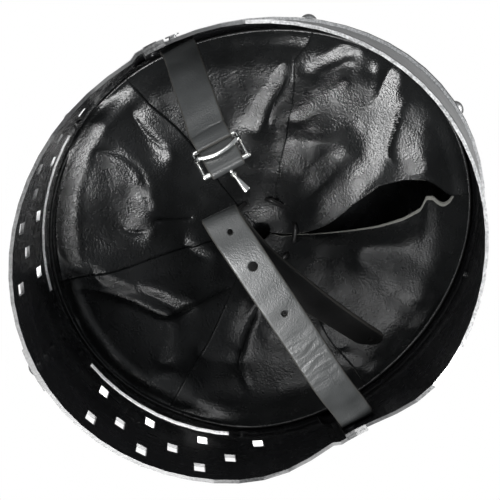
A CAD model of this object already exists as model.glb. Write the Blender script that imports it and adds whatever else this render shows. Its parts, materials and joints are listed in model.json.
import json
import math
import bpy
import bmesh
import numpy as np
from mathutils import Matrix, Vector


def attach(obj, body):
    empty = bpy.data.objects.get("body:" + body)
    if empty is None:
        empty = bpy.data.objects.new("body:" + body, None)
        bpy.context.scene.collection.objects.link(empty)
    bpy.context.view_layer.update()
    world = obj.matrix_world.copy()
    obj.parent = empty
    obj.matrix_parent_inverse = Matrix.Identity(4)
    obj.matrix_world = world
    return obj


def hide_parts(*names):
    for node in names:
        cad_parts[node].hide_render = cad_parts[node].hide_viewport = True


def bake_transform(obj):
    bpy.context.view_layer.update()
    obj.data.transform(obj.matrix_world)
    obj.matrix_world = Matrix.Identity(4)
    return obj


# Flat-top helm seen from above, standing on its flat crown. Sizes in the dictionaries are millimetres.
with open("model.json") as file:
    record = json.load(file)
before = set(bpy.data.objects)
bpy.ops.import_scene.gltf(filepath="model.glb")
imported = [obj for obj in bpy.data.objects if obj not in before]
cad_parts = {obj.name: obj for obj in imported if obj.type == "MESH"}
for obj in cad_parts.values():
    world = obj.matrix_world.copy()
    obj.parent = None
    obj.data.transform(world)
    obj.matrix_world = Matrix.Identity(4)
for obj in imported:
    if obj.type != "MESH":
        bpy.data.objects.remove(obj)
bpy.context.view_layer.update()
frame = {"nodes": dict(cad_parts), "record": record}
print("frame loaded")

mm = 0.001
# Half widths and depths are at the crown, the seam and the rim
helm = {
    "height": 290.0, "seam": 140.0,
    "side": (103.0, 119.0, 110.0), "front": (107.0, 119.0, 121.0), "back": (120.0, 144.0, 112.0),
}
camera = {
    "pixels": 500, "film": 36.0, "focal": 1398.36, "place": (-56.645, -9.488, 964.987),
    "right": (0.464949, 0.88412, 0.045559), "down": (0.88182, -0.467078, 0.065414),
    "forward": (0.079074, 0.00977, -0.996835),
}


def mix(a, b, t):
    return a + (b - a) * t


def smooth(t):
    c = np.clip(t, 0, 1)
    return c * c * (3 - 2 * c)


def level(sizes, z):
    # A size of the helm at a height, from its three values
    low, middle, high = sizes
    z = np.asarray(z, float)
    lower = mix(low, middle, z / helm["seam"])
    upper = mix(middle, high, (z - helm["seam"]) / (helm["height"] - helm["seam"]))
    return np.where(z <= helm["seam"], lower, upper)


def skin(th, z, off=0.0):
    # Point of the helm's wall at an angle in degrees from the front and a height
    t = np.radians(np.asarray(th, float))
    z = np.asarray(z, float) + 0 * t
    a = level(helm["side"], z) + off
    d = np.where(np.cos(t) > 0, level(helm["front"], z), level(helm["back"], z)) + off
    return np.stack([a * np.sin(t), -d * np.cos(t), z], -1)


def under(px, py, h):
    # Point at height h that the camera sees at a place in its 500 by 500 picture
    rows = np.array([camera["right"], camera["down"], camera["forward"]])
    centre = camera["pixels"] / 2
    ray = rows.T @ np.array([(px - centre) / camera["focal"], (py - centre) / camera["focal"], 1.0])
    eye = np.array(camera["place"])
    return eye + ray * (h - eye[2]) / ray[2]


# Node trees are built through this small helper
class Tree:
    def __init__(self, name, world=False):
        self.owner = (bpy.data.worlds if world else bpy.data.materials).new(name)
        self.owner.use_nodes = True
        self.tree = self.owner.node_tree
        self.tree.nodes.clear()

    def make(self, kind, inputs, out=0, **settings):
        # A node with its inputs linked or set, and one of its outputs, or all of them
        made = self.tree.nodes.new("ShaderNode" + kind)
        for key, value in settings.items():
            setattr(made, key, value)
        for key, value in inputs.items():
            if isinstance(value, bpy.types.NodeSocket):
                self.tree.links.new(value, made.inputs[key])
            else:
                made.inputs[key].default_value = value
        return made.outputs if out is None else made.outputs[out]

    def math(self, op, a, b=0.0):
        return self.make("Math", {0: a, 1: b}, operation=op)

    def add(self, a, b):
        return self.math("ADD", a, b)

    def times(self, a, b):
        return self.math("MULTIPLY", a, b)

    def vec(self, op, a, b=(0, 0, 0), out="Vector"):
        return self.make("VectorMath", {0: a, "Scale" if op == "SCALE" else 1: b}, out, operation=op)

    def step(self, value, low, high, first=0.0, last=1.0):
        ends = {"From Min": low, "From Max": high, "To Min": first, "To Max": last}
        return self.make("MapRange", {"Value": value, **ends}, clamp=True)

    def blendColour(self, fac, a, b, how="MIX"):
        return self.make("Mix", {"Factor": fac, 6: a, 7: b}, 2, data_type="RGBA", blend_type=how)

    def blendVector(self, fac, a, b):
        return self.make("Mix", {"Factor": fac, 4: a, 5: b}, 1, data_type="VECTOR")

    def noise(self, place, scale, detail=4.0, rough=0.55, distort=0.0):
        return self.make("TexNoise", {"Vector": place, "Scale": scale, "Detail": detail,
                                      "Roughness": rough, "Distortion": distort}, "Fac")

    def cells(self, place, scale, smoothness=None):
        if smoothness is None:
            return self.make("TexVoronoi", {"Vector": place, "Scale": scale}, "Distance")
        return self.make("TexVoronoi", {"Vector": place, "Scale": scale, "Smoothness": smoothness},
                         "Distance", feature="SMOOTH_F1")

    def bump(self, height, strength, distance, normal=None):
        bent = {} if normal is None else {"Normal": normal}
        return self.make("Bump", {"Strength": strength, "Distance": distance, "Height": height, **bent})

    def place(self):
        return self.make("TexCoord", {}, "Object")

    def split(self, vector):
        return self.make("SeparateXYZ", {0: vector}, None)

    def shader(self, **values):
        return self.make("BsdfPrincipled", values)

    def either(self, fac, first, second):
        return self.make("MixShader", {0: fac, 1: first, 2: second})

    def cameraRay(self):
        return self.make("LightPath", {}, "Is Camera Ray")

    def finish(self, shader, kind="Material"):
        self.make("Output" + kind, {"Surface": shader}, None)
        return self.owner


def colour(r, g=None, b=None):
    return (r, r if g is None else g, r if b is None else b, 1.0)


def shade(base, share):
    return colour(*(v * share for v in base))


# Bare worked steel outside and on every edge, black gloss paint inside. Soot lines are heights in metres:
# where each starts, is full, ends being full and stops
steel = {
    "grey": 0.45, "rough": 0.4, "ledge": 0.95, "rimFront": 0.22, "rimBack": 0.8,
    "paint": 0.012, "paintRough": 0.2, "paintBump": 0.3, "coat": 0.35, "coatRough": 0.09,
    "soot": ((0.262, 0.267, 0.280, 0.284), (0.1455, 0.148, 0.157, 0.162)),
    "wallMatch": 0.955, "floorLevel": 0.004,
}


def wallTerms(t):
    # Smooth normal of the helm's wall, and how far outside the wall a point is
    place = t.place()
    x, y, z = t.split(place)
    seam, top = helm["seam"] * mm, helm["height"] * mm

    def width(low, middle, high):
        lower = t.step(z, 0, seam, low * mm, middle * mm)
        upper = t.step(z, seam, top, middle * mm, high * mm)
        total = t.math("SUBTRACT", t.add(lower, upper), middle * mm)
        lean = (middle - low) / helm["seam"]
        upperLean = (high - middle) / (helm["height"] - helm["seam"])
        above = t.math("GREATER_THAN", z, seam)
        return total, t.add(lean, t.times(above, upperLean - lean))
    a, slopeA = width(*helm["side"])
    f, slopeF = width(*helm["front"])
    b, slopeB = width(*helm["back"])
    isFront = t.math("LESS_THAN", y, 0.0)

    def pick(back, front):
        return t.add(back, t.times(isFront, t.math("SUBTRACT", front, back)))
    d = pick(b, f)
    slopeD = pick(slopeB, slopeF)
    across = t.math("DIVIDE", x, t.times(a, a))
    along = t.math("DIVIDE", y, t.times(d, d))
    squareX = t.times(across, x)
    squareY = t.times(along, y)
    rise = t.add(t.times(squareX, t.math("DIVIDE", slopeA, a)),
                 t.times(squareY, t.math("DIVIDE", slopeD, d)))
    outward = t.vec("NORMALIZE", t.make("CombineXYZ", {0: across, 1: along, 2: t.times(rise, -1.0)}))
    outward = t.make("VectorTransform", {0: outward}, vector_type="NORMAL", convert_from="OBJECT",
                     convert_to="WORLD")
    real = t.make("NewGeometry", {}, "True Normal")
    dot = t.vec("DOT_PRODUCT", real, outward, out="Value")
    isWall = t.math("GREATER_THAN", t.math("ABSOLUTE", dot), steel["wallMatch"])
    normal = t.blendVector(isWall, real, t.vec("SCALE", outward, t.math("SIGN", dot)))
    upward = t.split(real)[2]
    floorFace = t.times(t.math("GREATER_THAN", upward, 0.5), t.math("LESS_THAN", z, steel["floorLevel"]))
    inside = t.math("MAXIMUM", t.math("LESS_THAN", dot, -0.5), floorFace)
    return place, y, z, normal, inside, t.add(squareX, squareY), upward


def plateMaterial(name, isRivet=False):
    t = Tree(name)
    place, y, z, normal, inside, share, upward = wallTerms(t)
    if isRivet:
        inside = t.math("LESS_THAN", share, 1.0)
        normal = None
    wide = t.vec("MULTIPLY", place, (1.0, 1.0, 0.16))
    grain = t.noise(wide, 900.0, 5.0, 0.6)
    cloud = t.noise(place, 26.0, 6.0, 0.6)
    wear = t.noise(place, 160.0, 5.0, 0.65)
    dents = t.noise(place, 38.0, 2.0, 0.5)
    tone = t.blendColour(t.step(cloud, 0.3, 0.7), shade([steel["grey"]], 0.82),
                         shade([steel["grey"]], 1.12))
    tone = t.blendColour(t.step(wear, 0.62, 0.75, 0.0, 0.55), tone, colour(0.22, 0.19, 0.165))
    # Edges that face up are filed bright, the rim's more behind than in front
    edge = t.step(upward, 0.6, 0.8)
    rimTone = t.blendColour(t.step(y, 0.0, 0.06), colour(steel["rimFront"]), colour(steel["rimBack"]))
    pale = t.blendColour(t.step(z, 0.2, 0.21), colour(steel["ledge"]), rimTone)
    worn = t.blendColour(t.step(grain, 0.3, 0.7), colour(0.55), colour(1.0))
    tone = t.blendColour(edge, tone, t.blendColour(1.0, pale, worn, "MULTIPLY"))
    rough = t.add(t.step(grain, 0.3, 0.7, steel["rough"] - 0.1, steel["rough"] + 0.14),
                  t.step(wear, 0.5, 0.8, 0.0, 0.15))
    height = t.add(t.times(grain, 0.35), t.times(dents, 1.6))
    metalNormal = t.bump(height, 0.35, 0.0006, normal)
    metal = t.shader(**{"Base Color": tone, "Metallic": 1.0, "Roughness": rough, "Normal": metalNormal})
    peel = t.noise(place, 240.0, 3.0, 0.5)
    speck = t.cells(place, 330.0)
    dust = t.times(t.step(speck, 0.06, 0.13, 1.0, 0.0), t.step(t.noise(place, 60.0, 3.0), 0.5, 0.7))
    paintTone = t.blendColour(t.times(dust, 0.75), shade((1.0, 1.0, 1.1), steel["paint"]),
                              colour(0.12, 0.125, 0.13))
    gloss = t.step(t.noise(place, 90.0, 5.0, 0.65), 0.35, 0.75, steel["paintRough"] - 0.04,
                   steel["paintRough"] + 0.16)
    paintRough = t.add(gloss, t.times(dust, 0.4))
    paintHeight = t.add(t.times(peel, 0.5), t.add(t.times(dents, 1.4), t.times(dust, 0.5)))
    paintNormal = t.bump(paintHeight, steel["paintBump"], 0.0006, normal)
    paint = t.shader(**{"Base Color": paintTone, "Roughness": paintRough, "Normal": paintNormal,
                        "Coat Weight": steel["coat"], "Coat Roughness": steel["coatRough"],
                        "Specular IOR Level": 0.45})
    # Old wax and soot left in a thin line under the rim and over the seam, outside
    soot = t.shader(**{"Base Color": colour(0.02), "Roughness": 1.0, "Specular IOR Level": 0.0,
                       "Normal": metalNormal})
    lines = [t.times(t.step(z, a, b), t.step(z, c, d, 1.0, 0.0)) for a, b, c, d in steel["soot"]]
    line = t.times(t.math("MAXIMUM", *lines), t.step(wear, 0.3, 0.55, 0.9, 0.45))
    line = t.times(line, t.math("SUBTRACT", 1.0, t.math("MAXIMUM", inside, edge)))
    return t.finish(t.either(line, t.either(inside, metal, paint), soot))


def leatherMaterial(name, base, rough, pebble, depth, worn=0.0, fine=1.0, gloss=0.5, coat=0.0,
                    crinkle=0.35):
    t = Tree(name)
    place = t.place()
    big = t.cells(place, pebble, 0.55)
    small = t.cells(place, pebble * 2.3, 0.4)
    grain = t.noise(place, pebble * 3.0, 4.0, 0.6)
    cloud = t.noise(place, 34.0, 5.0, 0.6)
    crease = t.noise(t.vec("MULTIPLY", place, (1.0, 2.3, 1.0)), 120.0, 6.0, 0.65, 0.6)
    height = t.add(t.times(big, -1.0 * fine), t.add(t.times(small, -0.35 * fine), t.times(grain, 0.18)))
    height = t.add(height, t.times(crease, crinkle))
    tone = t.blendColour(t.step(cloud, 0.3, 0.72), shade(base, 0.7), shade(base, 1.35))
    scuff = t.times(t.step(t.noise(place, 300.0, 6.0, 0.7), 0.58, 0.75), t.step(cloud, 0.45, 0.7))
    tone = t.blendColour(t.times(scuff, worn), tone, colour(0.16, 0.165, 0.165))
    surface = t.step(t.noise(place, 70.0, 5.0, 0.6), 0.3, 0.75, rough - 0.06, rough + 0.12)
    normal = t.bump(height, 0.55, depth)
    return t.finish(t.shader(**{"Base Color": tone, "Roughness": surface, "Normal": normal,
                                "Specular IOR Level": gloss, "Coat Weight": coat, "Coat Roughness": 0.2,
                                "Coat Normal": normal}))


def rawMaterial(name, base):
    t = Tree(name)
    place = t.place()
    fibre = t.noise(t.vec("MULTIPLY", place, (1.0, 1.0, 3.0)), 900.0, 6.0, 0.7)
    cloud = t.noise(place, 110.0, 4.0, 0.6)
    tone = t.blendColour(t.step(fibre, 0.3, 0.7), shade(base, 0.55), colour(*base))
    tone = t.blendColour(t.step(cloud, 0.5, 0.8, 0.0, 0.5), tone, shade(base, 0.35))
    normal = t.bump(fibre, 0.8, 0.0003)
    return t.finish(t.shader(**{"Base Color": tone, "Roughness": 0.85, "Normal": normal}))


def nickelMaterial(name):
    t = Tree(name)
    place = t.place()
    grain = t.noise(place, 1400.0, 5.0, 0.6)
    cloud = t.noise(place, 260.0, 4.0, 0.6)
    tone = t.blendColour(t.step(cloud, 0.35, 0.7), colour(0.72, 0.72, 0.70), colour(0.9, 0.9, 0.88))
    rough = t.step(cloud, 0.3, 0.75, 0.12, 0.27)
    normal = t.bump(grain, 0.15, 0.0002)
    return t.finish(t.shader(**{"Base Color": tone, "Metallic": 1.0, "Roughness": rough, "Normal": normal}))


plateSteel = plateMaterial("plateSteel")
rivetSteel = plateMaterial("rivetSteel", True)
leathers = {
    "linerLeather": {"base": (0.00987, 0.0105, 0.010815), "rough": 0.25, "pebble": 880.0,
                     "depth": 0.00027, "coat": 0.3, "crinkle": 0.09},
    "strapLeather": {"base": (0.0399, 0.042, 0.042), "rough": 0.33, "pebble": 1250.0, "depth": 0.00026,
                     "worn": 0.35, "fine": 0.5, "gloss": 0.6, "coat": 0.15, "crinkle": 0.6},
    "strapBack": {"base": (0.016, 0.016, 0.016), "rough": 0.45, "pebble": 1500.0, "depth": 0.0002,
                  "gloss": 0.6},
    "laceLeather": {"base": (0.012, 0.012, 0.012), "rough": 0.4, "pebble": 1500.0, "depth": 0.0002,
                    "gloss": 0.7},
}
linerLeather, strapLeather, strapBack, laceLeather = (
    leatherMaterial(name, **values) for name, values in leathers.items())
edgeTones = {"lappets": (0.36, 0.36, 0.33), "strap": (0.06, 0.058, 0.052)}
rawEdge = rawMaterial("rawEdge", edgeTones["lappets"])
strapEdge = rawMaterial("strapEdge", edgeTones["strap"])
nickel = nickelMaterial("nickel")
slotMaterials = {
    "plate_steel": plateSteel, "rivet_steel": rivetSteel, "liner_leather": linerLeather,
    "strap_leather": strapLeather, "lace": laceLeather, "plated_wire": nickel,
}
nodeSlots = {part["node"]: part["material_slot"] for part in frame["record"]["subparts"]}
for name, obj in frame["nodes"].items():
    for holder in obj.material_slots:
        holder.material = slotMaterials[nodeSlots[name]]
print("materials made")


def addObject(name, data):
    obj = bpy.data.objects.new(name, data)
    bpy.context.scene.collection.objects.link(obj)
    return obj


def makePiece(name, points, faces, mats, indices=None, isSmooth=True):
    # A piece from points in millimetres
    mesh = bpy.data.meshes.new(name)
    mesh.from_pydata([tuple(p) for p in np.asarray(points) * mm], [], faces)
    for mat in mats:
        mesh.materials.append(mat)
    if indices is not None:
        mesh.polygons.foreach_set("material_index", indices)
    mesh.polygons.foreach_set("use_smooth", [isSmooth] * len(mesh.polygons))
    mesh.update()
    return addObject(name, mesh)


def closedSheet(name, top, bottom, mats, rawColumns=0):
    # Top, bottom and edges of a sheet from two grids of points; its last columns may show raw leather
    nu, nv = top.shape[:2]
    count = nu * nv
    points = np.concatenate([top.reshape(-1, 3), bottom.reshape(-1, 3)])
    faces = []
    kinds = []

    def a(i, j):
        return i * nv + j

    def b(i, j):
        return count + i * nv + j
    for i in range(nu - 1):
        for j in range(nv - 1):
            faces.append((a(i, j), a(i + 1, j), a(i + 1, j + 1), a(i, j + 1)))
            faces.append((b(i, j), b(i, j + 1), b(i + 1, j + 1), b(i + 1, j)))
            kinds += [2 if i >= nu - 1 - rawColumns else 0, 1]
    for i in range(nu - 1):
        faces.append((a(i, 0), b(i, 0), b(i + 1, 0), a(i + 1, 0)))
        faces.append((a(i, nv - 1), a(i + 1, nv - 1), b(i + 1, nv - 1), b(i, nv - 1)))
        kinds += [1, 2]
    for j in range(nv - 1):
        faces.append((a(0, j), a(0, j + 1), b(0, j + 1), b(0, j)))
        faces.append((a(nu - 1, j), b(nu - 1, j), b(nu - 1, j + 1), a(nu - 1, j + 1)))
        kinds += [2, 2]
    return makePiece(name, points, faces, mats, kinds)


def smoothNoise(x, y, seed, size):
    # Sum of a few turned waves, the same at every run
    rng = np.random.default_rng(seed)
    total = np.zeros_like(x)
    for i in range(9):
        turn = rng.uniform(0, 2 * math.pi)
        length = size * rng.uniform(0.7, 1.6)
        phase = rng.uniform(0, 2 * math.pi)
        total += np.sin((x * math.cos(turn) + y * math.sin(turn)) * 2 * math.pi / length + phase)
    return total / 4.0


# Liner: six lappets that lap one way round and fall in folds to the middle.
# edges, over, lifted and sunk have one value for each lappet: the angle where it starts on the wall,
# how far its first edge lies over its neighbour, how much that edge lifts and how much its last edge
# tucks down. The hem turns down in front, around frontAngle, and up elsewhere.
liner = {
    "middle": (7.4, 11.4), "bandTop": 124.0, "hang": 3.0, "gap": 0.3, "tip": 65.0, "full": 0.93, "sag": 1.25,
    "thick": 1.8, "into": 0.6, "overlap": 5.0, "sway": 2.2,
    "edges": (-131.0, -81.0, -13.0, 39.0, 99.0, 159.0),
    "over": (2.5, 1.2, 1.2, 1.2, 1.2, 2.5),
    "lifted": (0.8, 0.8, 0.8, 0.8, 0.8, 0.0),
    "sunk": (1.0, 1.0, 1.0, 1.0, 5.0, 1.0),
    "rise": 6.5, "drop": 7.5, "frontAngle": -12.0, "frontHalf": 50.0, "frontFade": 30.0,
    "rollFrom": -82.0, "rollTo": -4.0,
    "across": 84, "down": 130, "hemRows": 12, "waves": ((0.4, 3, 40.0), (0.14, 8, 15.0)),
    "grid": 1.5, "slack": 0.11, "litWeight": 8.0, "dimWeight": 3.0, "pixels": 1.66,
    "lamp": (620.0, -520.0, 1600.0),
}
# Places on the folds that face the lamp, or turn from it where the share is below zero:
# the share, then a line in the picture with its half widths in pixels
litFolds = [
    (1.0, [(98, 128, 4), (85, 146, 7), (76, 168, 9), (69, 190, 9), (66, 218, 9), (68, 244, 8),
           (74, 264, 5)]),
    (1.0, [(134, 112, 2), (145, 130, 3.5), (155, 143, 4), (168, 156, 2)]),
    (0.9, [(95, 154, 2), (112, 158, 3), (125, 164, 5), (138, 178, 2)]),
    (0.8, [(140, 180, 2), (147, 196, 3), (152, 206, 2)]),
    (0.7, [(118, 228, 1.5), (129, 236, 2.5), (143, 236, 2.5), (151, 229, 1.5)]),
    (1.0, [(95, 272, 3), (106, 281, 6), (120, 287, 6), (133, 290, 4)]),
    (1.0, [(139, 287, 2.5), (158, 294, 4.5), (178, 303, 5), (192, 304, 2.5)]),
    (0.9, [(186, 241, 2.5), (199, 250, 4.5), (211, 255, 3)]),
    (0.45, [(168, 318, 2.5), (170, 336, 5), (163, 360, 4)]),
    (0.5, [(146, 393, 2.5), (162, 386, 7), (176, 390, 10), (190, 402, 5)]),
    (0.4, [(204, 352, 5), (222, 352, 8), (238, 360, 5)]),
    (0.7, [(258, 306, 2), (248, 326, 3), (240, 348, 3)]),
    (0.6, [(262, 322, 3), (266, 334, 4)]),
    (1.0, [(284, 63, 2), (273, 80, 3.5), (261, 99, 6), (255, 114, 6), (254, 126, 3)]),
    (1.0, [(307, 70, 2), (328, 58, 5.5), (346, 50, 6), (358, 50, 3)]),
    (0.8, [(294, 117, 3), (308, 110, 3.5), (328, 98, 2), (345, 82, 1.5)]),
    (1.0, [(396, 66, 4), (391, 92, 8), (385, 115, 10), (377, 140, 10), (374, 162, 11), (358, 182, 13),
           (336, 203, 13), (311, 224, 9)]),
    (0.75, [(402, 142, 6), (413, 158, 9), (422, 167, 6)]),
    (0.5, [(410, 106, 7), (420, 120, 9)]),
    (0.15, [(330, 160, 6), (322, 172, 8), (306, 190, 6)]),
    (0.5, [(366, 256, 7), (388, 262, 12), (404, 274, 12), (418, 292, 9)]),
    (0.4, [(398, 304, 8), (412, 318, 9)]),
    (0.5, [(328, 330, 4), (342, 342, 5)]),
    (0.45, [(344, 358, 4), (370, 368, 5)]),
    (-0.7, [(318, 124, 4), (336, 118, 6), (352, 106, 7), (364, 90, 6), (370, 76, 4)]),
    (-0.5, [(296, 134, 4), (314, 134, 5), (330, 136, 6), (350, 132, 7), (354, 148, 6)]),
    (-0.5, [(292, 84, 3), (284, 104, 4), (280, 124, 4)]),
    (-0.4, [(318, 84, 3), (334, 76, 4), (346, 68, 3)]),
]
# Sharp creases pressed into the leather: lines in the picture, each with its half width and its depth
creaseLines = [
    ([(64, 291), (84, 292), (105, 296), (130, 303), (165, 317), (190, 307), (216, 294), (246, 278)],
     1.8, 2.2),
    ([(88, 152), (104, 150), (124, 156), (140, 172), (150, 196)], 1.8, 0.8),
    ([(131, 112), (142, 128), (154, 140), (170, 150)], 1.8, 0.8),
    ([(412, 88), (402, 108), (396, 130), (391, 152), (398, 166)], 1.6, 1.2),
    ([(290, 70), (280, 90), (270, 110), (264, 128)], 2.2, 1.0),
    ([(312, 74), (332, 66), (350, 60), (358, 58)], 2.0, 0.9),
    ([(262, 300), (251, 326), (243, 350), (240, 368), (252, 398)], 1.9, 1.4),
    ([(118, 224), (130, 232), (148, 231)], 1.4, 0.7),
    ([(150, 221), (160, 218), (176, 218), (194, 216)], 1.5, 2.2),
    ([(440, 286), (430, 316), (416, 344)], 3.0, 1.5),
]
# Edges of lappets that leave the straight line, as lines in the picture
backEdge = [(462, 198), (446, 188), (428, 181), (404, 180), (380, 186), (352, 204), (330, 222), (306, 232),
            (284, 234)]
sideEdge = [(452, 214), (434, 196), (428, 196), (422, 208), (404, 218), (378, 226), (336, 232), (300, 234),
            (280, 236)]
frontEdge = [(296, 60), (292, 100), (286, 134), (280, 160), (276, 188), (275, 208)]
# The lappets whose first edge, or last edge, is one of these
customStart = {5: backEdge, 0: frontEdge}
customEnd = {4: sideEdge}
middle = np.array(liner["middle"])


def wallRun(th):
    # From the liner's middle to the wall, in plan
    return skin(th, liner["bandTop"], -liner["gap"])[..., :2] - middle


def reach(th):
    run = wallRun(th)
    return np.hypot(run[..., 0], run[..., 1])


def away(th):
    run = wallRun(th)
    return run / np.linalg.norm(run, axis=-1, keepdims=True)


def fall(f):
    # Height of the even fall at a share of the way from the middle to the wall
    high = liner["bandTop"] - liner["hang"] - liner["tip"]
    return liner["tip"] + high * np.power(np.maximum(f, 0) / liner["full"], liner["sag"])


def hem(th, f):
    # Near the wall the leather rises behind and at the sides, and rolls down in front
    turn = np.abs((np.asarray(th) - liner["frontAngle"] + 180) % 360 - 180)
    rising = smooth((turn - liner["frontHalf"]) / liner["frontFade"])
    up = liner["rise"] * np.power(np.clip((f - 0.84) / 0.158, 0, 1), 2.0)
    down = liner["drop"] * smooth((f - 0.9) / 0.095)
    return rising * up - (1 - rising) * down


angleTable = np.linspace(-180, 180, 1441)
awayTable = np.degrees(np.arctan2(away(angleTable)[:, 1], away(angleTable)[:, 0]))
awayTable = np.unwrap(np.radians(awayTable))


def onLiner(px, py):
    # Angle from the front and share of the way to the wall for a place in the picture
    h = 80.0
    for _ in range(12):
        p = under(px, py, h)
        run = p[:2] - middle
        turn = math.atan2(run[1], run[0])
        while turn < awayTable[0]:
            turn += 2 * math.pi
        while turn > awayTable[-1]:
            turn -= 2 * math.pi
        th = float(np.interp(turn, awayTable, angleTable))
        f = float(np.hypot(*run) / reach(th))
        h = 0.5 * h + 0.5 * float(fall(min(f, 0.95)))
    return th, f, p


def lineInPlan(line):
    return np.array([onLiner(x, y)[2][:2] for x, y in line])


def near(points, line):
    # Distance of points from a line, and how far along it they lie. Where the line's points have a third
    # number, it is a width, and the distance is counted in widths.
    best = np.full(points.shape[:-1], 1e9)
    share = np.zeros(points.shape[:-1])
    lengths = np.linalg.norm(np.diff(line[:, :2], axis=0), axis=1)
    total = lengths.sum()
    done = 0.0
    for i in range(len(line) - 1):
        a, b = line[i][:2], line[i + 1][:2]
        ab = b - a
        t = np.clip(((points - a) @ ab) / (ab @ ab), 0, 1)
        d = np.linalg.norm(points - (a + t[..., None] * ab), axis=-1)
        if line.shape[1] == 3:
            d = d / mix(line[i][2], line[i + 1][2], t)
        hit = d < best
        best = np.where(hit, d, best)
        share = np.where(hit, (done + t * lengths[i]) / total, share)
        done += lengths[i]
    return best, share


def roundLine(line, steps=5, isLoop=False):
    # The line with its corners rounded by a spline through its points
    line = np.asarray(line, float)
    last = len(line) - 1
    out = []
    for i in range(last + 1 if isLoop else last):
        around = (i - 1, i, i + 1, i + 2)
        a, b, c, d = (line[k % (last + 1)] if isLoop else line[min(max(k, 0), last)] for k in around)
        for s in range(steps):
            t = s / steps
            out.append(0.5 * (2 * b + (c - a) * t + (2 * a - 5 * b + 4 * c - d) * t * t
                              + (3 * b - a - 3 * c + d) * t ** 3))
    if not isLoop:
        out.append(line[-1])
    return np.array(out)


def fromMiddle(xy):
    # Angle from the front and share of the way to the wall for places in plan
    run = xy - middle
    turn = np.arctan2(run[..., 1], run[..., 0])
    turn = turn + 2 * math.pi * np.ceil((awayTable[0] - turn) / (2 * math.pi))
    th = np.interp(turn, awayTable, angleTable)
    return th, np.hypot(run[..., 0], run[..., 1]) / reach(th)


def solveFolds():
    # Heights added to the even fall so that lit places face between camera and lamp, by least squares
    gap = liner["grid"]
    xs = np.arange(-128, 129, gap)
    ys = np.arange(-128, 150, gap)
    xy = np.stack(np.meshgrid(xs, ys, indexing="ij"), -1)
    th, f = fromMiddle(xy)
    base = fall(np.minimum(f, 1.0)) + hem(th, np.minimum(f, 1.0))
    slope = np.stack(np.gradient(base, gap), -1)
    eye = np.array(camera["place"])
    point = np.concatenate([xy, base[..., None]], -1)
    view = eye - point
    view /= np.linalg.norm(view, axis=-1, keepdims=True)
    lamp = np.array(liner["lamp"]) - point
    lamp /= np.linalg.norm(lamp, axis=-1, keepdims=True)
    facing = view + lamp
    wanted = -facing[..., :2] / facing[..., 2:3]
    lit = np.zeros(f.shape)
    dim = np.zeros(f.shape)
    for most, line in litFolds:
        plan = np.array([list(onLiner(x, y)[2][:2]) + [w / liner["pixels"]] for x, y, w in line])
        reached = smooth((1.5 - near(xy, roundLine(plan, 4))[0]) / 1.1)
        lit = np.maximum(lit, most * reached)
        dim = np.maximum(dim, -most * reached)
    weight = liner["slack"] + liner["litWeight"] * lit + liner["dimWeight"] * dim
    weight = np.where(f > 0.99, 0.01, weight)
    goal = (wanted - slope) * (lit - dim)[..., None] * weight[..., None] * gap
    # The hem is held at the wall, but not along the roll at the left
    free = smooth((th - liner["rollFrom"]) / 8) * smooth((liner["rollTo"] - th) / 8) > 0.5
    fixed = (f > 1.0) & ~(free & (f < 1.04))
    inner = np.where(f < 0.16, 0.05, 0.0)

    def gather(out, dx, dy):
        out[1:] += dx
        out[:-1] -= dx
        out[:, 1:] += dy
        out[:, :-1] -= dy
        return np.where(fixed, 0.0, out)

    def apply(h):
        dx = np.diff(h, axis=0) * 0.5 * (weight[1:] + weight[:-1])
        dy = np.diff(h, axis=1) * 0.5 * (weight[:, 1:] + weight[:, :-1])
        return gather(inner * h, dx, dy)
    goalX = 0.5 * (goal[1:, :, 0] + goal[:-1, :, 0])
    goalY = 0.5 * (goal[:, 1:, 1] + goal[:, :-1, 1])
    # Conjugate gradients
    rest = gather(np.zeros(f.shape), goalX, goalY)
    h = np.zeros(f.shape)
    run = rest.copy()
    size = (rest * rest).sum()
    for _ in range(700):
        ran = apply(run)
        step = size / (run * ran).sum()
        h += step * run
        rest = rest - step * ran
        new = (rest * rest).sum()
        if new < 1e-6:
            break
        run = rest + new / size * run
        size = new
    return xs, ys, h


foldX, foldY, foldHeights = solveFolds()
print("folds", round(float(foldHeights.min()), 1), round(float(foldHeights.max()), 1))
valleys = [(roundLine(lineInPlan(line)), w, h) for line, w, h in creaseLines]


def foldHeight(xy):
    i = np.clip((xy[..., 0] - foldX[0]) / liner["grid"], 0, len(foldX) - 1.001)
    j = np.clip((xy[..., 1] - foldY[0]) / liner["grid"], 0, len(foldY) - 1.001)
    a, b = i.astype(int), j.astype(int)
    u, v = i - a, j - b
    low = mix(foldHeights[a, b], foldHeights[a, b + 1], v)
    high = mix(foldHeights[a + 1, b], foldHeights[a + 1, b + 1], v)
    return mix(low, high, u)


def folds(xy, f):
    # All that the leather's height adds to the even fall and the hem
    total = foldHeight(xy)
    for line, w, h in valleys:
        d, s = near(xy, line)
        total -= h * np.exp(-(d / w) ** 2) * smooth(s * 5) * smooth((1 - s) * 5)
    waves = [high * smoothNoise(xy[..., 0], xy[..., 1], seed, size) for high, seed, size in liner["waves"]]
    total += sum(waves)
    return total * smooth((f - 0.1) * 4) * smooth((1.0 - f) * 60)


def edgeAngle(k):
    # Where lappet k starts on the wall; the lappets are counted on past the last one
    return liner["edges"][k % 6] + 360.0 * (k // 6)


def customAngle(line, base, f):
    # Angle, near base, of a line in the picture at a share of the way to the wall
    marks = sorted((onLiner(x, y)[:2] for x, y in line), key=lambda m: m[1])
    th = np.degrees(np.unwrap(np.radians([m[0] for m in marks])))
    found = np.interp(f, [m[1] for m in marks], th)
    found = found + 360.0 * np.round((base - found) / 360.0)
    return base + (found - base) * smooth((0.985 - f) * 8)


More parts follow.
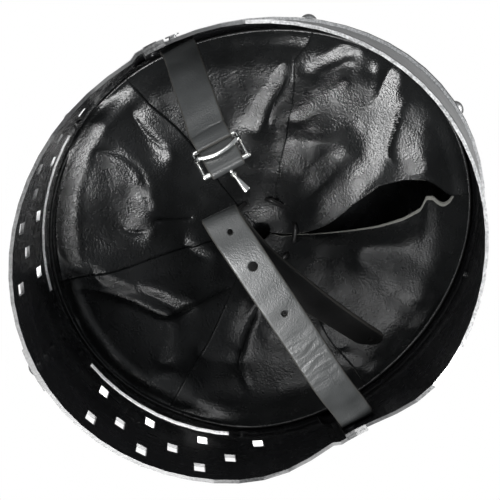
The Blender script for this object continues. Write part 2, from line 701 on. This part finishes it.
def lappetStart(k, f):
    base = edgeAngle(k)
    if k % 6 in customStart:
        return customAngle(customStart[k % 6], base, f)
    # Straight edges still sway a little
    return base + liner["sway"] * np.sin(f * 5.0 + (k % 6) * 1.7) * smooth((0.9 - f) * 4)


def lappetEnd(k, f):
    if k in customEnd:
        return customAngle(customEnd[k], edgeAngle(k + 1) + liner["overlap"], f)
    return lappetStart(k + 1, f) + liner["overlap"]


def lappetGrid(k):
    # Points of a lappet's grain side and flesh side
    u = np.linspace(0, 1, liner["across"])
    # Share of the way out, from the wall to the tip, with close rows at the hem
    f = np.concatenate([np.linspace(0.998, 0.945, liner["hemRows"]),
                        np.linspace(0.938, 0.05, liner["down"] - liner["hemRows"])])
    start = lappetStart(k, f)
    end = lappetEnd(k, f)
    uu, ff = np.meshgrid(u, f, indexing="ij")
    th = mix(start[None, :], end[None, :], uu)
    xy = middle + away(th) * (ff * reach(th))[..., None]
    z = fall(ff) + hem(th, ff)
    z = z + folds(xy, ff)
    # The first edge lifts, and the end that lies beneath tucks down
    swell = np.sin(np.clip((ff - 0.12) / 0.83, 0, 1) * math.pi)
    z = z + liner["lifted"][k] * np.exp(-(uu / 0.1) ** 2) * swell ** 1.5
    z = z - liner["sunk"][k] * np.exp(-((1 - uu) / 0.14) ** 2) * swell
    grid = np.concatenate([xy, z[..., None]], -1)
    du = np.gradient(grid, axis=0)
    dv = np.gradient(grid, axis=1)
    n = np.cross(du, dv)
    n /= np.linalg.norm(n, axis=-1, keepdims=True)
    n *= np.where(n[..., 2:3] < 0, -1, 1)
    lift = (1 - uu) * liner["over"][k] * smooth((0.995 - ff) * 16)
    top = grid + n * (lift + liner["thick"] - liner["into"])[..., None]
    bottom = top - n * liner["thick"]
    return top, bottom


def steps(line):
    # Length of each step of a line
    return np.linalg.norm(np.diff(line, axis=0), axis=1)


def lengthsAlong(line):
    # Length from a line's start to each of its points
    return np.concatenate([[0], np.cumsum(steps(line))])


# The two lappets along the black pocket show a raw edge, and lappet 5 a strip of it
rawLappets = {4: 2, 5: 0}
for k in range(len(liner["edges"])):
    top, bottom = lappetGrid(k)
    piece = closedSheet("lappetLeather%d" % (k + 1), top, bottom,
                        [linerLeather, strapBack, rawEdge if k in rawLappets else laceLeather],
                        rawLappets.get(k, 0))
    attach(piece, "helm")
    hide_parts("lappet_%d" % (k + 1))
print("lappets made")


# The lace goes down and up through two holes in each lappet's tip. Its route on one lappet is the share
# of the way across, and the height over the leather's back.
lace = {
    "ring": 21.0, "thick": 2.6, "wall": 119.0, "over": 2.5,
    "route": ((0.1, 4.8), (0.21, 3.6), (0.25, 0.9), (0.34, -1.9), (0.5, -2.3), (0.66, -1.9), (0.75, 0.9),
              (0.79, 3.6)),
}


def lacePoint(k, u, up):
    f = lace["ring"] / lace["wall"]
    th = mix(lappetStart(k, f), lappetEnd(k, f), u)
    xy = middle + away(th) * lace["ring"]
    share = lace["ring"] / reach(th)
    z = float(fall(share) + folds(xy, np.array(share)) + (1 - u) * lace["over"] + up)
    return np.array([xy[0], xy[1], z])


def ringFaces(n, sides, isLoop=False):
    # Faces between n rings of points, with both ends closed where it is no loop
    faces = []
    for i in range(n if isLoop else n - 1):
        for k in range(sides):
            a, b = i * sides + k, i * sides + (k + 1) % sides
            c, d = ((i + 1) % n) * sides + (k + 1) % sides, ((i + 1) % n) * sides + k
            faces.append((a, b, c, d))
    if not isLoop:
        faces.append(tuple(range(sides - 1, -1, -1)))
        faces.append(tuple((n - 1) * sides + k for k in range(sides)))
    return faces


def tubeParts(line, radius, sides, isLoop, upward=(0, 0, 1)):
    # Vertices and faces of a round tube along a line; radius is one value or one for each point
    n = len(line)
    radius = np.broadcast_to(np.asarray(radius, float), (n,))
    if isLoop:
        run = np.roll(line, -1, 0) - np.roll(line, 1, 0)
    else:
        run = np.gradient(line, axis=0)
    run /= np.linalg.norm(run, axis=1, keepdims=True)
    side = np.cross(np.array(upward, float), run)
    small = np.linalg.norm(side, axis=1) < 1e-6
    side[small] = (0, 1, 0)
    side /= np.linalg.norm(side, axis=1, keepdims=True)
    top = np.cross(run, side)
    points = []
    for k in range(sides):
        a = 2 * math.pi * k / sides
        points.append(line + radius[:, None] * (math.cos(a) * side + math.sin(a) * top))
    return np.stack(points, 1).reshape(-1, 3), ringFaces(n, sides, isLoop)


def joinParts(parts):
    points, faces, count = [], [], 0
    for p, f in parts:
        points.append(p)
        faces += [tuple(i + count for i in face) for face in f]
        count += len(p)
    return np.concatenate(points), faces


laceLine = [lacePoint(k, u, up) for k in range(len(liner["edges"])) for u, up in lace["route"]]
lacePoints, laceFaces = tubeParts(roundLine(laceLine, 6, True), lace["thick"] / 2, 10, True)
laceTube = makePiece("laceThong", lacePoints, laceFaces, [laceLeather])
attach(laceTube, "helm")
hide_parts("liner_lace")
print("lace made")


# Chin strap: a tab on the wall, a bend and a free half on each side. Each hole is its place and width.
strap = {
    "width": 19.5, "thick": 2.4, "gap": 0.3, "round": 0.75,
    "tab": (185.0, 190.0, 196.0, 202.0, 207.0), "bend": 212.0, "curl": 4.0, "lead": 8.4,
    "holeY": 6.4, "holeTurn": 64.0, "buckleY": 14.4, "buckleTurn": 47.0,
    "holes": ((37.9, -2.0, 241.5, 3.6), (7.4, -5.0, 248.0, 5.2), (-12.8, -7.2, 252.6, 3.0)),
    "tailHole": (88.5, 37.0, 142.0, 2.6), "tipRound": 11.0,
}


def wallWidth(z, y):
    # Half width of the wall behind the axis at a height and a distance back
    a = float(level(helm["side"], z))
    b = float(level(helm["back"], z))
    return a * math.sqrt(1 - (y / b) ** 2)


def tabLine(side, y, turn):
    # From the tab's lower end up the wall and round the bend
    inset = strap["gap"] + strap["thick"] / 2
    line = []
    for z in strap["tab"]:
        line.append([side * (wallWidth(z, y) - inset), y, z])
    free = wallWidth(strap["bend"], y + strap["width"] / 2) - 2 * strap["gap"] - strap["thick"] / 2
    centre = free - strap["thick"] / 2 - strap["curl"]
    radius = strap["curl"] + strap["thick"] / 2
    for i in range(5):
        a = math.radians(turn) * i / 4
        line.append([side * (centre + radius * math.cos(a)), y, strap["bend"] + radius * math.sin(a)])
    run = np.array([side * -math.sin(a), 0, math.cos(a)])
    return line, np.array(line[-1]), run


def sweep(name, line, across, width, thick, mats, shape=None, columns=16):
    # A strap with rounded edges; shape gives the height of its grain side at a length and a place across
    n = len(line)
    run = np.gradient(line, axis=0)
    run /= np.linalg.norm(run, axis=1, keepdims=True)
    wide = across - (across * run).sum(1, keepdims=True) * run
    wide /= np.linalg.norm(wide, axis=1, keepdims=True)
    top = np.cross(run, wide)
    along = lengthsAlong(line)
    width = np.broadcast_to(np.asarray(width, float), (n,))
    r = strap["round"]
    section = [("t", v) for v in np.linspace(1, -1, columns)]
    section += [("l", a) for a in (112, 135, 180, 225, 248)]
    section += [("b", v) for v in np.linspace(-1, 1, columns)]
    section += [("r", a) for a in (-68, -45, 0, 45, 68)]
    rings = []
    kinds = []
    for kind, v in section:
        if kind in "tb":
            sideways = v * (width / 2 - r)
            up = thick / 2 * (1 if kind == "t" else -1) + 0 * sideways
            if kind == "t" and shape is not None:
                up = up + shape(along, np.full(n, v))
            kinds.append(0 if kind == "t" else 1)
        else:
            a = math.radians(v)
            sign = -1 if kind == "l" else 1
            sideways = sign * (width / 2 - r) + r * math.cos(a)
            up = (thick / 2) * math.sin(a) + 0 * sideways
            kinds.append(2)
        rings.append(line + wide * sideways[:, None] + top * up[:, None])
    m = len(section)
    points = np.stack(rings, 1).reshape(-1, 3)
    faces = ringFaces(n, m)[:-2] + [tuple(range(m)), tuple((n - 1) * m + k for k in range(m - 1, -1, -1))]
    indices = [kinds[k] if kinds[k] == kinds[(k + 1) % m] else 2 for k in range(m)] * (n - 1) + [2, 2]
    obj = makePiece(name, points, faces, mats, indices)
    bm = bmesh.new()
    bm.from_mesh(obj.data)
    bmesh.ops.recalc_face_normals(bm, faces=bm.faces)
    bm.to_mesh(obj.data)
    bm.free()
    return obj


def evenLine(line, gap):
    # The same line with points at even distances
    along = lengthsAlong(line)
    marks = np.linspace(0, along[-1], int(along[-1] / gap) + 1)
    return np.stack([np.interp(marks, along, line[:, i]) for i in range(3)], -1), marks


def cutWith(obj, cutter):
    mod = obj.modifiers.new("cut", "BOOLEAN")
    mod.operation = "DIFFERENCE"
    mod.solver = "EXACT"
    mod.object = cutter
    dg = bpy.context.evaluated_depsgraph_get()
    mesh = bpy.data.meshes.new_from_object(obj.evaluated_get(dg))
    obj.modifiers.clear()
    obj.data = mesh
    bpy.data.objects.remove(cutter)


def cylinderPiece(centre, axis, radius, half, sides=28):
    axis = np.array(axis, float) / np.linalg.norm(axis)
    line = np.array([np.array(centre) - axis * half, np.array(centre) + axis * half])
    upward = (0, 1, 0) if abs(axis[1]) < 0.9 else (1, 0, 0)
    points, faces = tubeParts(line, radius, sides, False, upward)
    return makePiece("cutter", points, faces, [strapEdge])


def holeWrinkles(along, across):
    # Worn folds in the middle of the strap and a soft cupping of its edges
    bend = along * 1.9 + 2.2 * np.sin(along * 0.7) + across * 1.6
    ripple = np.sin(bend + 1.3 * np.sin(across * 3.1 + along * 0.23)) * 0.11
    ripple += np.sin(along * 3.3 + across * 2.7 + 1.3) * 0.07
    zone = np.exp(-((along - 78) / 17) ** 2)
    return ripple * zone + 0.10 * np.cos(across * 1.5) + 0.05 * np.sin(along * 0.45 + across)


holeStart, holeEnd, holeRun = tabLine(1, strap["holeY"], strap["holeTurn"])
holePoints = holeStart + [
    list(holeEnd + holeRun * strap["lead"] - np.array([0, 1.0, 0])),
    [84.5, 2.6, 229.0], [53.8, -0.4, 238.0], [20.0, -4.0, 247.5], [3.0, -5.7, 251.3], [-9.0, -7.0, 251.4],
    [-17.5, -7.8, 249.2], [-22.4, -8.0, 246.0], [-22.8, -7.8, 243.2], [-18.5, -7.2, 240.2],
    [-9.0, -5.3, 234.0], [13.5, 0.9, 214.0], [44.0, 14.4, 184.0], [70.7, 27.8, 158.0], [93.6, 39.8, 137.0],
]
holeLine, holeAlong = evenLine(roundLine(holePoints, 12), 0.9)
tailShare = smooth((holeAlong - holeAlong[-1] + 125) / 110)
holeAcross = np.stack([0.06 + 0 * tailShare, 1 + 0 * tailShare, 0.75 * tailShare], -1)
# The tail's end is rounded
toTip = np.minimum((holeAlong[-1] - holeAlong) / strap["tipRound"], 1)
holeWidth = strap["width"] * np.sqrt(np.maximum(0.02, 1 - (1 - toTip) ** 2))
strapMats = [strapLeather, strapBack, strapEdge]
# The grain side faces the opening: across runs so that the section's top is up
holeStrap = sweep("holeStrapLeather", holeLine, -holeAcross, holeWidth, strap["thick"], strapMats,
                  holeWrinkles)
for x, y, z, size in strap["holes"]:
    cutWith(holeStrap, cylinderPiece((x, y, z), (0.22, 0, 1), size / 2, 4.0))
cutWith(holeStrap, cylinderPiece(strap["tailHole"][:3], (0.3, 0.2, 1), strap["tailHole"][3] / 2, 6.0))
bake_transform(holeStrap)
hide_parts("hole_strap_tab", "hole_strap")
print("hole strap made")

# Buckle's half: a top layer that ends before the bar, and a thinner loop round the bar
buckle = {
    "bar": (-43.7, 6.6, 262.0), "slope": 30.0, "barThick": 2.8, "play": 0.12, "loopThick": 1.6, "wire": 2.4,
    "across": 24.4, "long": 15.0, "bow": 3.4, "bowAt": 9.2, "bowOver": 0.5, "corner": 2.2,
    "leatherGap": 0.1, "prongTurn": 13.0, "prongWire": 0.6,
}
slope = math.radians(buckle["slope"])
outward = np.array([math.cos(slope), 0, math.sin(slope)])
upward = np.array([-math.sin(slope), 0, math.cos(slope)])
loopRadius = buckle["barThick"] / 2 + buckle["play"] + buckle["loopThick"] / 2
loopShut = buckle["loopThick"] / 2 + buckle["leatherGap"]
overLoop = buckle["loopThick"] / 2 + buckle["leatherGap"] + strap["thick"] / 2
farWire = -buckle["long"]


def fromBar(o, n, y=0.0):
    # A place by its distance outward from the bar, its height over the leather and its shift along the bar
    return np.array(buckle["bar"]) + o * outward + n * upward + np.array([0, y, 0])


def opening(o):
    # Half of the loop's opening, which closes behind the buckle
    return mix(loopShut, loopRadius, float(smooth((o - farWire + 9) / 7.4)))


buckleStart, buckleEnd, buckleRun = tabLine(-1, strap["buckleY"], strap["buckleTurn"])
openAt = [farWire - 2 * i for i in (4, 3, 2, 1)]
bucklePoints = buckleStart + [
    list(buckleEnd + buckleRun * strap["lead"] - np.array([0, 0.8, 0])), [-95.2, 11.9, 231.0],
    fromBar(-42, loopShut + overLoop - 0.6, 3.0), fromBar(-34, loopShut + overLoop, 1.8),
    fromBar(-27, loopShut + overLoop, 0.8),
] + [fromBar(o, opening(o) + overLoop) for o in openAt] + [
    fromBar(farWire, loopRadius + overLoop), fromBar(-12.2, loopRadius + overLoop),
]
buckleLine, buckleAlong = evenLine(roundLine(bucklePoints, 10), 0.9)
alongBar = np.array([0, 1.0, 0])


def buckleShape(along, across):
    # A pressed line near the cut end, and slight waves
    groove = -0.45 * np.exp(-((along - buckleAlong[-1] + 9.5 + across * 0.8) / 0.7) ** 2)
    return groove + 0.1 * np.cos(across * 1.5) + 0.06 * np.sin(along * 0.5 + across * 1.2)


buckleStrap = sweep("buckleStrapLeather", buckleLine, alongBar, strap["width"], strap["thick"], strapMats,
                    buckleShape)
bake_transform(buckleStrap)
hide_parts("buckle_strap_tab", "buckle_strap")

loopSide = [(o, loopShut) for o in (-31, -26)] + [(o, opening(o)) for o in openAt]
loopSide += [(farWire, loopRadius), (farWire / 2, loopRadius)]
loopPoints = [fromBar(o, n) for o, n in loopSide]
for degrees in range(90, -91, -15):
    a = math.radians(degrees)
    loopPoints.append(fromBar(loopRadius * math.cos(a), loopRadius * math.sin(a)))
loopPoints += [fromBar(o, -n) for o, n in reversed(loopSide)]
loopLine, loopAlong = evenLine(roundLine(loopPoints, 4), 0.7)
loopWidth = strap["width"] - 0.6 - 0.8 * np.exp(-((loopAlong - loopAlong[-1] / 2) / 4.0) ** 2)
buckleLoop = sweep("buckleLoopLeather", loopLine, alongBar, loopWidth, buckle["loopThick"], strapMats)
slotPoints = []
for o, n in ((-4.5, -8), (9.5, -8), (9.5, 8), (-4.5, 8)):
    slotPoints += [fromBar(o, n, -2.2), fromBar(o, n, 2.2)]
slotFaces = [(0, 2, 3, 1), (2, 4, 5, 3), (4, 6, 7, 5), (6, 0, 1, 7), (0, 6, 4, 2), (1, 3, 5, 7)]
slotBox = makePiece("cutter", np.array(slotPoints), slotFaces, [strapEdge], isSmooth=False)
cutWith(buckleLoop, slotBox)
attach(buckleLoop, "buckle_strap_half")
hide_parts("buckle_loop")

# Buckle's wires
half = buckle["across"] / 2
bowHigh = loopRadius + buckle["loopThick"] / 2 + buckle["wire"] / 2 + buckle["bowOver"]
corner = buckle["corner"]
rise = [(half, 0.0), (half, bowHigh - corner)]
for degrees in (22.5, 45, 67.5, 90):
    a = math.radians(degrees)
    rise.append((half - corner * (1 - math.cos(a)), bowHigh - corner * (1 - math.sin(a))))
rise += [(half * 0.6, bowHigh + 0.2), (half * 0.3, bowHigh + 0.3)]
bowLine = [(y, n) for y, n in rise] + [(0, bowHigh + 0.35)] + [(-y, n) for y, n in reversed(rise)]
bowPoints = [fromBar(-buckle["bowAt"] + buckle["bow"] * (1 - (y / half) ** 2), n, y) for y, n in bowLine]


def straight(a, b, steps):
    return np.array([mix(np.array(a), np.array(b), i / steps) for i in range(steps + 1)])


def roundedEnds(line, radius):
    along = lengthsAlong(line)
    end = np.minimum(along, along[-1] - along)
    return radius * np.sqrt(np.clip(1 - (1 - np.minimum(end / (radius * 0.7), 1)) ** 2, 0.05, 1))


barEnds = straight(fromBar(0, 0, -half - 1.5), fromBar(0, 0, half + 1.5), 60)
farEnds = straight(fromBar(farWire, 0, -half - 0.4), fromBar(farWire, 0, half + 0.4), 60)
frameParts = [
    tubeParts(barEnds, roundedEnds(barEnds, buckle["barThick"] / 2), 20, False, upward),
    tubeParts(farEnds, roundedEnds(farEnds, buckle["wire"] / 2), 20, False, upward),
    tubeParts(roundLine(bowPoints, 6), buckle["wire"] / 2, 18, False, outward),
]
for sign in (-1, 1):
    frameParts.append(tubeParts(straight(fromBar(0, 0, sign * half), fromBar(farWire, 0, sign * half), 24),
                                (buckle["wire"] - 0.4) / 2, 18, False, upward))
framePoints, frameFaces = joinParts(frameParts)
buckleFrame = makePiece("buckleWires", framePoints, frameFaces, [nickel])
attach(buckleFrame, "buckle_strap_half")
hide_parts("buckle_frame")

# Prong: two turns round the bar, a wound knot and a flat blade. Each row is the distance from the bar,
# half the width and half the height.
yaw = math.radians(buckle["prongTurn"])
blade = [(1.9, 0.95, 0.95), (3.2, 0.9, 0.9), (4.2, 0.9, 0.85), (4.7, 1.55, 1.4), (5.4, 1.6, 1.5),
         (6.1, 1.5, 1.4), (6.7, 0.85, 0.8), (8.5, 1.0, 0.72), (10.5, 1.3, 0.62), (12.5, 1.55, 0.55),
         (14.5, 1.75, 0.5), (15.7, 1.7, 0.46), (16.1, 1.3, 0.34)]
bladeLine = np.array([(far * math.cos(yaw), far * math.sin(yaw), 0.04 * far) for far, _, _ in blade])
bladeFine = roundLine(np.column_stack([bladeLine + buckle["bar"], np.array(blade)[:, 1:]]), 6)
bladePoints = []
bladeSides = 16
sideways = np.array([-math.sin(yaw), math.cos(yaw), 0])
for row in bladeFine:
    for k in range(bladeSides):
        a = 2 * math.pi * k / bladeSides
        lifted = np.array([0, 0, row[4] * math.sin(a)])
        bladePoints.append(row[:3] + row[3] * math.cos(a) * sideways + lifted)
coil = []
coilSteps = 72
coilRadius = buckle["barThick"] / 2 + buckle["play"] + buckle["prongWire"] + 0.02
for i in range(coilSteps + 1):
    a = 2 * math.pi * i / (coilSteps / 2)
    turned = (coilRadius * math.cos(a), -1.0 + 2.0 * i / coilSteps, coilRadius * math.sin(a))
    coil.append(np.array(buckle["bar"]) + np.array(turned))
prongPoints, prongFaces = joinParts([
    (np.array(bladePoints), ringFaces(len(bladeFine), bladeSides)),
    tubeParts(np.array(coil), buckle["prongWire"], 12, False, (0, 1, 0)),
])
prong = makePiece("prongWire", prongPoints, prongFaces, [nickel])
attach(prong, "prong")
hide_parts("buckle_prong")
print("buckle made")


# Camera, light and background
def addCamera():
    data = bpy.data.cameras.new("photoCamera")
    data.sensor_width = camera["film"]
    data.lens = camera["focal"] / camera["pixels"] * camera["film"]
    data.clip_start = 0.01
    data.clip_end = 50
    obj = addObject("photoCamera", data)
    right, down, forward = (Vector(camera[key]) for key in ("right", "down", "forward"))
    turn = Matrix((right, -down, -forward)).transposed().to_4x4()
    obj.matrix_world = Matrix.Translation(Vector(camera["place"]) * mm) @ turn
    bpy.context.scene.camera = obj


def addLight(name, place, size, power):
    data = bpy.data.lights.new(name, "AREA")
    data.shape = "RECTANGLE"
    data.size, data.size_y = size
    data.energy = power
    obj = addObject(name, data)
    obj.location = place
    run = Vector(room["aim"]) - Vector(place)
    obj.rotation_euler = run.to_track_quat("-Z", "Y").to_euler()


room = {
    "aim": (0, 0, 0.12), "tint": (0.92, 0.96, 1.0), "light": 0.3,
    "floor": 4000.0, "floorTop": -0.4, "floorGrey": 0.26,
}
lights = {
    "key": {"place": (0.62, -0.52, 1.6), "size": (0.75, 0.75), "power": 34.0},
    "soft": {"place": (-1.05, -0.25, 1.6), "size": (1.0, 1.0), "power": 9.0},
    "back": {"place": (0.5, 1.7, 0.75), "size": (1.4, 0.5), "power": 16.0},
}
addCamera()
for name, item in lights.items():
    addLight(name, **item)


def makeWorld():
    # Plain room light, and white where the camera looks past the floor
    t = Tree("studio", world=True)
    plain = t.make("Background", {0: colour(*room["tint"]), 1: room["light"]})
    white = t.make("Background", {0: colour(1.0), 1: 1.0})
    return t.finish(t.either(t.cameraRay(), plain, white), "World")


bpy.context.scene.world = makeWorld()
bpy.context.scene.view_settings.view_transform = "Standard"


def floorMaterial():
    # White to the camera, grey to the helm
    t = Tree("paleFloor")
    soft = t.shader(**{"Base Color": colour(room["floorGrey"]), "Roughness": 0.7})
    white = t.make("Emission", {0: colour(1.0), 1: 1.0})
    return t.finish(t.either(t.cameraRay(), soft, white))


corners = []
for x, y in ((-1, -1), (1, -1), (1, 1), (-1, 1)):
    corners.append((x * room["floor"], y * room["floor"], room["floorTop"]))
floor = makePiece("floor", corners, [(0, 1, 2, 3)], [floorMaterial()], isSmooth=False)
print("stage made")
